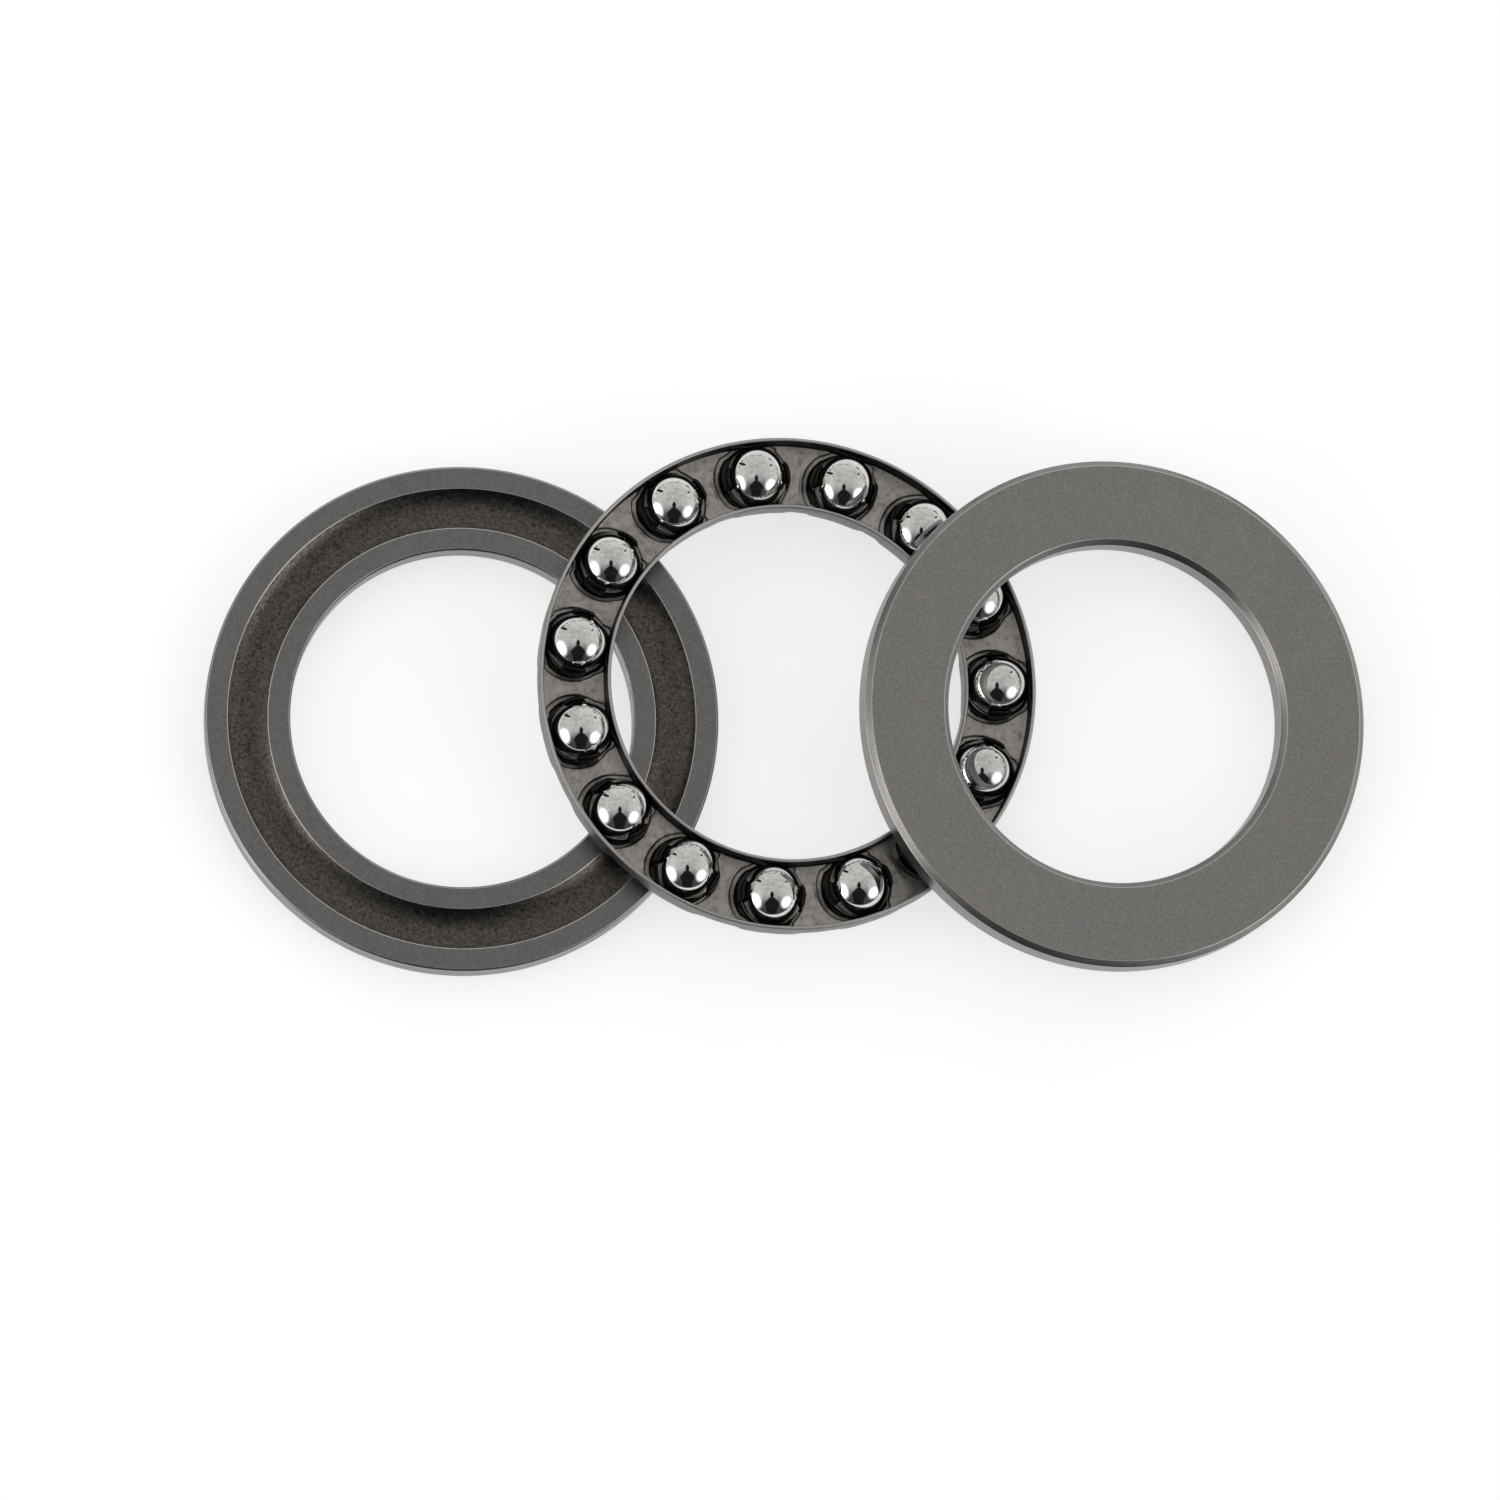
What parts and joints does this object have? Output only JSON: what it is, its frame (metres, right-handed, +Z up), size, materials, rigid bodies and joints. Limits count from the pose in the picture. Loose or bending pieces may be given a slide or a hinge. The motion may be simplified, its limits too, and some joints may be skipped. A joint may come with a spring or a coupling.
{
  "type": "thrust ball bearing",
  "caption": "Single-direction thrust ball bearing laid out in a fan: grooved housing washer, caged row of balls leaning on it, and shaft washer on top.",
  "frame": {"origin": "centre of the housing washer's back face, which lies on the surface that the set rests on", "axes": "+Z up, along the housing washer's axis; +X along the fan, from the housing washer towards the shaft washer"},
  "size_m": [0.1356, 0.0631, 0.0137],
  "materials": {
    "washer_steel": "ground bearing steel, dark satin, darker and browner in the raceway",
    "cage_steel": "pressed sheet steel, tumbled matte",
    "ball_steel": "mirror-polished chrome steel"
  },
  "bodies": {
    "housing_washer": {"housing_washer": "washer_steel"},
    "cage": {"cage": "cage_steel"},
    "ball_01": {"ball_01": "ball_steel"},
    "ball_02": {"ball_02": "ball_steel"},
    "ball_03": {"ball_03": "ball_steel"},
    "ball_04": {"ball_04": "ball_steel"},
    "ball_05": {"ball_05": "ball_steel"},
    "ball_06": {"ball_06": "ball_steel"},
    "ball_07": {"ball_07": "ball_steel"},
    "ball_08": {"ball_08": "ball_steel"},
    "ball_09": {"ball_09": "ball_steel"},
    "ball_10": {"ball_10": "ball_steel"},
    "ball_11": {"ball_11": "ball_steel"},
    "ball_12": {"ball_12": "ball_steel"},
    "ball_13": {"ball_13": "ball_steel"},
    "ball_14": {"ball_14": "ball_steel"},
    "ball_15": {"ball_15": "ball_steel"},
    "shaft_washer": {"shaft_washer": "washer_steel"}
  },
  "joints": [
    {"name": "shaft_washer_spin", "type": "hinge", "parent": "housing_washer", "child": "shaft_washer", "pos_m": [0.07578, 0.00048, 0.00668], "axis": [0.1683, -0.0147, 0.9856], "continuous": true},
    {"name": "cage_spin", "type": "hinge", "parent": "housing_washer", "child": "cage", "pos_m": [0.03775, 0.0038, 0.00595], "axis": [0.0945, 0.0095, 0.9955], "continuous": true},
    {"name": "ball_01_roll", "type": "hinge", "parent": "cage", "child": "ball_01", "pos_m": [0.03434, 0.02857, 0.00604], "axis": [-0.1363, 0.9907, 0.0035], "continuous": true},
    {"name": "ball_02_roll", "type": "hinge", "parent": "cage", "child": "ball_02", "pos_m": [0.02461, 0.02503, 0.00699], "axis": [-0.5257, 0.8496, 0.0418], "continuous": true},
    {"name": "ball_03_roll", "type": "hinge", "parent": "cage", "child": "ball_03", "pos_m": [0.01716, 0.01783, 0.00777], "axis": [-0.8242, 0.5615, 0.0729], "continuous": true},
    {"name": "ball_04_roll", "type": "hinge", "parent": "cage", "child": "ball_04", "pos_m": [0.01327, 0.0082, 0.00823], "axis": [-0.9801, 0.1761, 0.0914], "continuous": true},
    {"name": "ball_05_roll", "type": "hinge", "parent": "cage", "child": "ball_05", "pos_m": [0.01362, -0.00219, 0.0083], "axis": [-0.9662, -0.2399, 0.094], "continuous": true},
    {"name": "ball_06_roll", "type": "hinge", "parent": "cage", "child": "ball_06", "pos_m": [0.01814, -0.01155, 0.00796], "axis": [-0.7849, -0.6143, 0.0804], "continuous": true},
    {"name": "ball_07_roll", "type": "hinge", "parent": "cage", "child": "ball_07", "pos_m": [0.02606, -0.01824, 0.00727], "axis": [-0.4678, -0.8823, 0.0529], "continuous": true},
    {"name": "ball_08_roll", "type": "hinge", "parent": "cage", "child": "ball_08", "pos_m": [0.03601, -0.02113, 0.00635], "axis": [-0.0697, -0.9974, 0.0162], "continuous": true},
    {"name": "ball_09_roll", "type": "hinge", "parent": "cage", "child": "ball_09", "pos_m": [0.04626, -0.01971, 0.00537], "axis": [0.3402, -0.9401, -0.0233], "continuous": true},
    {"name": "ball_10_roll", "type": "hinge", "parent": "cage", "child": "ball_10", "pos_m": [0.05504, -0.01422, 0.00448], "axis": [0.6912, -0.7203, -0.0587], "continuous": true},
    {"name": "ball_11_roll", "type": "hinge", "parent": "cage", "child": "ball_11", "pos_m": [0.06084, -0.00561, 0.00385], "axis": [0.9227, -0.3762, -0.084], "continuous": true},
    {"name": "ball_12_roll", "type": "hinge", "parent": "cage", "child": "ball_12", "pos_m": [0.06265, 0.00462, 0.00358], "axis": [0.995, 0.0328, -0.0948], "continuous": true},
    {"name": "ball_13_roll", "type": "hinge", "parent": "cage", "child": "ball_13", "pos_m": [0.06016, 0.01471, 0.00372], "axis": [0.8955, 0.4361, -0.0892], "continuous": true},
    {"name": "ball_14_roll", "type": "hinge", "parent": "cage", "child": "ball_14", "pos_m": [0.0538, 0.02292, 0.00424], "axis": [0.6414, 0.7641, -0.0682], "continuous": true},
    {"name": "ball_15_roll", "type": "hinge", "parent": "cage", "child": "ball_15", "pos_m": [0.04467, 0.02782, 0.00506], "axis": [0.2765, 0.9604, -0.0354], "continuous": true}
  ],
  "couplings": [
    {"joint": "cage_spin", "follows": "shaft_washer_spin", "ratio": 0.5},
    {"joint": "ball_01_roll", "follows": "shaft_washer_spin", "ratio": -3.4994},
    {"joint": "ball_02_roll", "follows": "shaft_washer_spin", "ratio": -3.4994},
    {"joint": "ball_03_roll", "follows": "shaft_washer_spin", "ratio": -3.4994},
    {"joint": "ball_04_roll", "follows": "shaft_washer_spin", "ratio": -3.4994},
    {"joint": "ball_05_roll", "follows": "shaft_washer_spin", "ratio": -3.4994},
    {"joint": "ball_06_roll", "follows": "shaft_washer_spin", "ratio": -3.4994},
    {"joint": "ball_07_roll", "follows": "shaft_washer_spin", "ratio": -3.4994},
    {"joint": "ball_08_roll", "follows": "shaft_washer_spin", "ratio": -3.4994},
    {"joint": "ball_09_roll", "follows": "shaft_washer_spin", "ratio": -3.4994},
    {"joint": "ball_10_roll", "follows": "shaft_washer_spin", "ratio": -3.4994},
    {"joint": "ball_11_roll", "follows": "shaft_washer_spin", "ratio": -3.4994},
    {"joint": "ball_12_roll", "follows": "shaft_washer_spin", "ratio": -3.4994},
    {"joint": "ball_13_roll", "follows": "shaft_washer_spin", "ratio": -3.4994},
    {"joint": "ball_14_roll", "follows": "shaft_washer_spin", "ratio": -3.4994},
    {"joint": "ball_15_roll", "follows": "shaft_washer_spin", "ratio": -3.4994}
  ]
}
